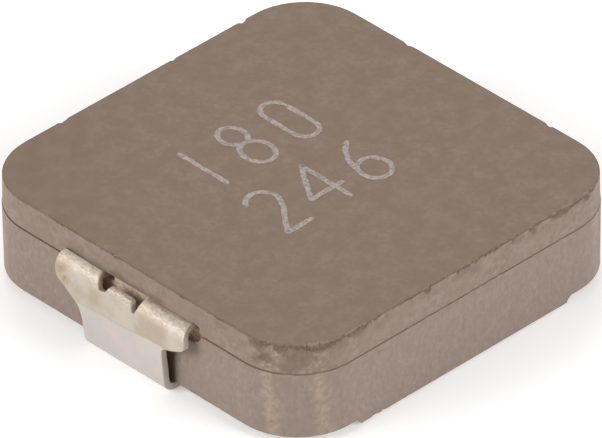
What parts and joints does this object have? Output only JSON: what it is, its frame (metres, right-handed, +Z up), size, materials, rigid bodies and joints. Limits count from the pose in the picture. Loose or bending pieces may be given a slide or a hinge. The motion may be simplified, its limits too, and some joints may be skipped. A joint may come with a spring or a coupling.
{
  "type": "shielded smd inductor",
  "caption": "Flat square power inductor pressed from metal powder around a flat-wire coil, with folded sheet terminals at two opposite sides for surface mounting.",
  "frame": {"origin": "on the board plane, under the middle of the part", "axes": "+X towards one terminal, +Y along the other two walls, +Z up through the block"},
  "size_m": [0.0136, 0.0126, 0.0032],
  "materials": {
    "pressed_powder": "matte, fine-grained, resin-bonded iron powder",
    "enamelled_copper": "clear enamel over copper",
    "tinned_copper": "satin tin plating over copper sheet"
  },
  "bodies": {
    "root": {"pressed_core": "pressed_powder", "winding": "enamelled_copper", "terminal_left": "tinned_copper", "terminal_right": "tinned_copper"}
  },
  "joints": []
}
